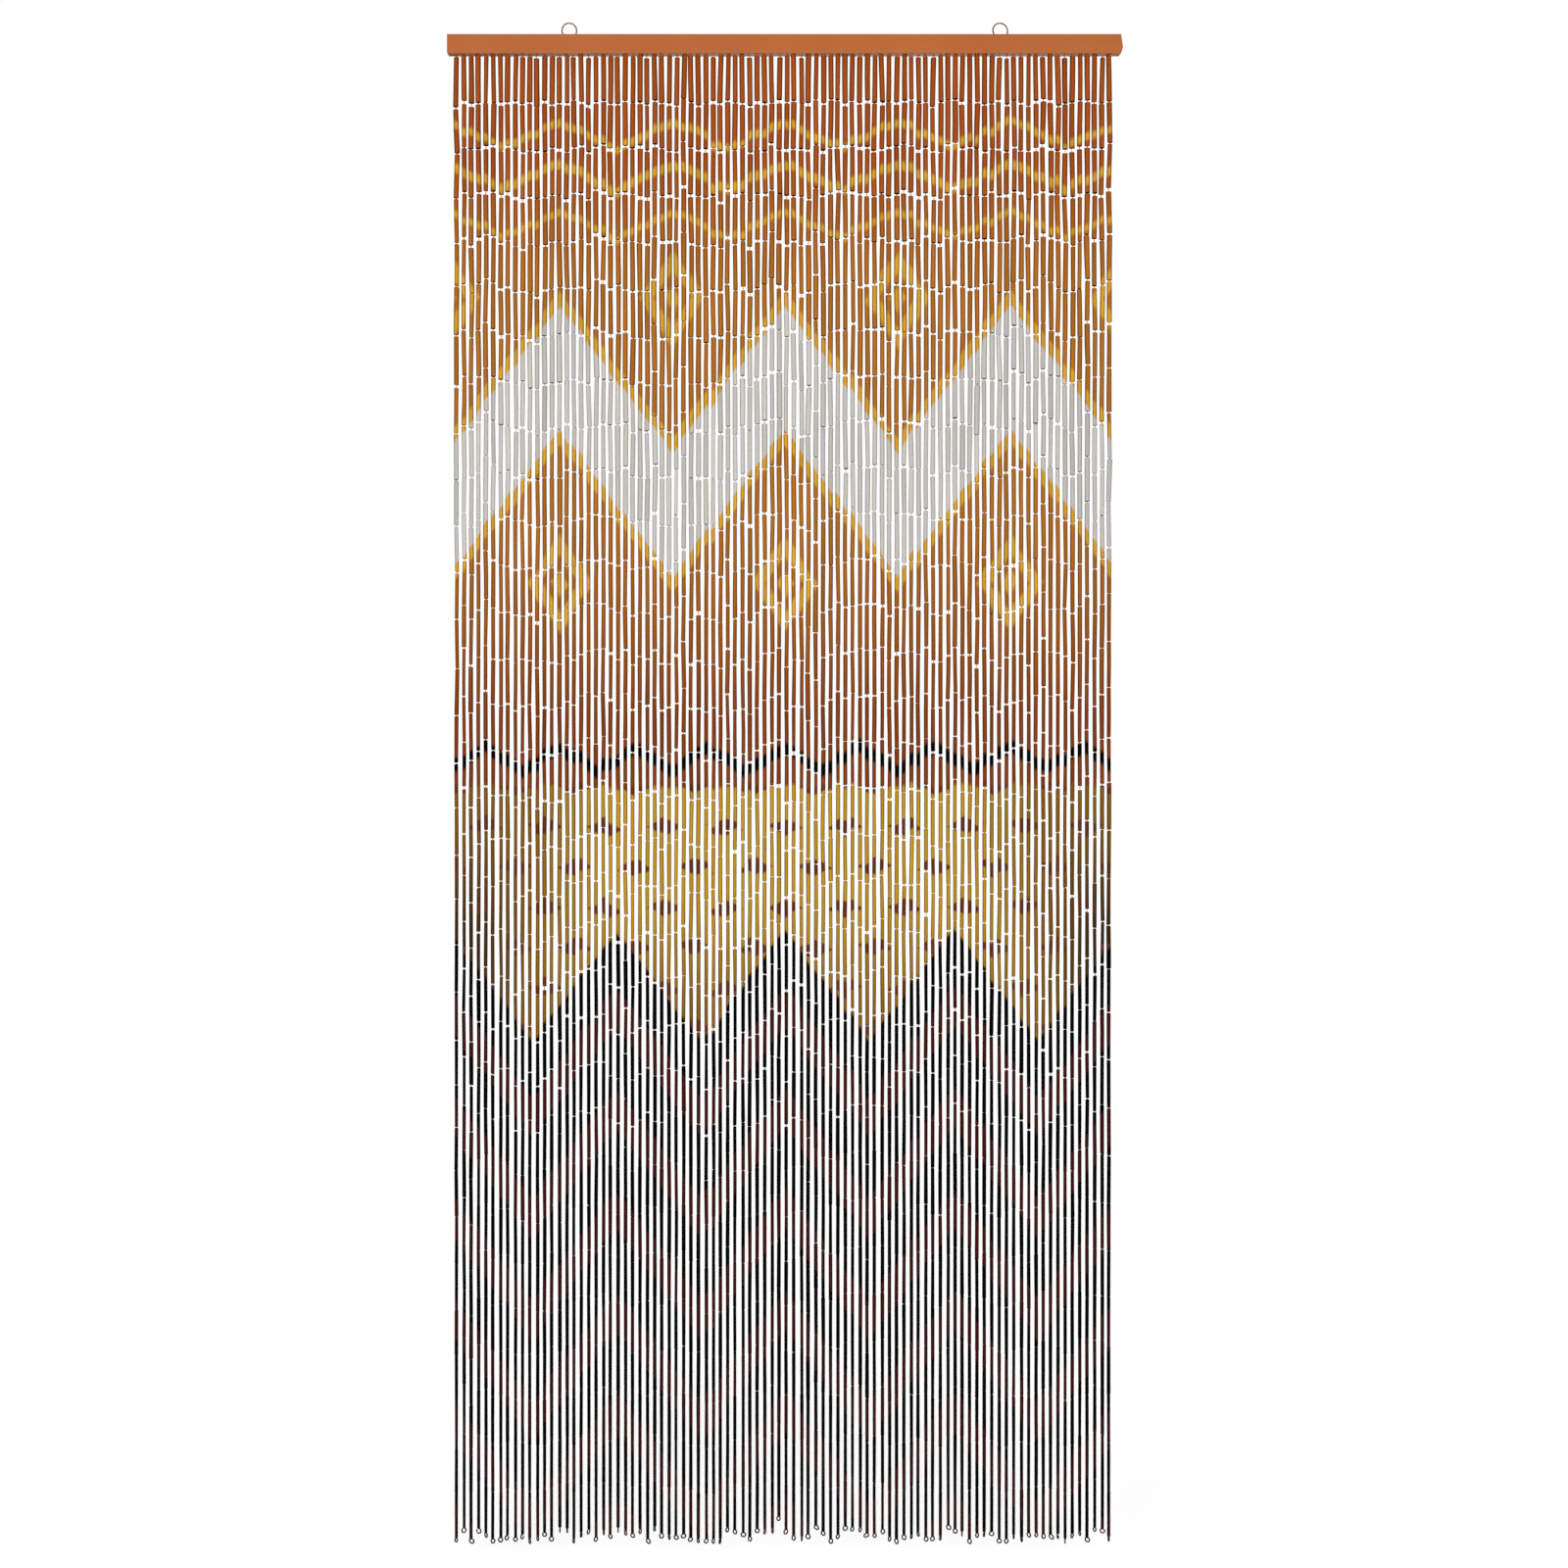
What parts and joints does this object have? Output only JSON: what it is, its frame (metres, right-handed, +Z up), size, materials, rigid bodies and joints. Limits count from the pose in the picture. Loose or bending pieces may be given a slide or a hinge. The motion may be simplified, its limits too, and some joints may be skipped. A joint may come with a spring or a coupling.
{
  "type": "bamboo door curtain with rail",
  "caption": "Door curtain of painted bamboo beads threaded on wire strands that hang side by side from a painted wooden rail with wire hanging rings.",
  "frame": {"origin": "middle of the rail's flat back face, in the plane of the wall", "axes": "+Z up along the strands, +X to the right as seen from the front, +Y out of the rail's back towards the wall"},
  "size_m": [0.9, 0.015, 2.0314],
  "materials": {
    "rail_paint": "satin terracotta paint on a sawn wooden batten",
    "steel_wire": "dull grey-brown steel wire",
    "painted_bamboo": "satin painted bamboo in bands of rust, amber, off-white, ochre, maroon and black"
  },
  "bodies": {
    "root": {"rail": "rail_paint", "screw_eye_left": "steel_wire", "screw_eye_right": "steel_wire", "strands_left": "painted_bamboo", "strands_middle": "painted_bamboo", "strands_right": "painted_bamboo"}
  },
  "joints": []
}
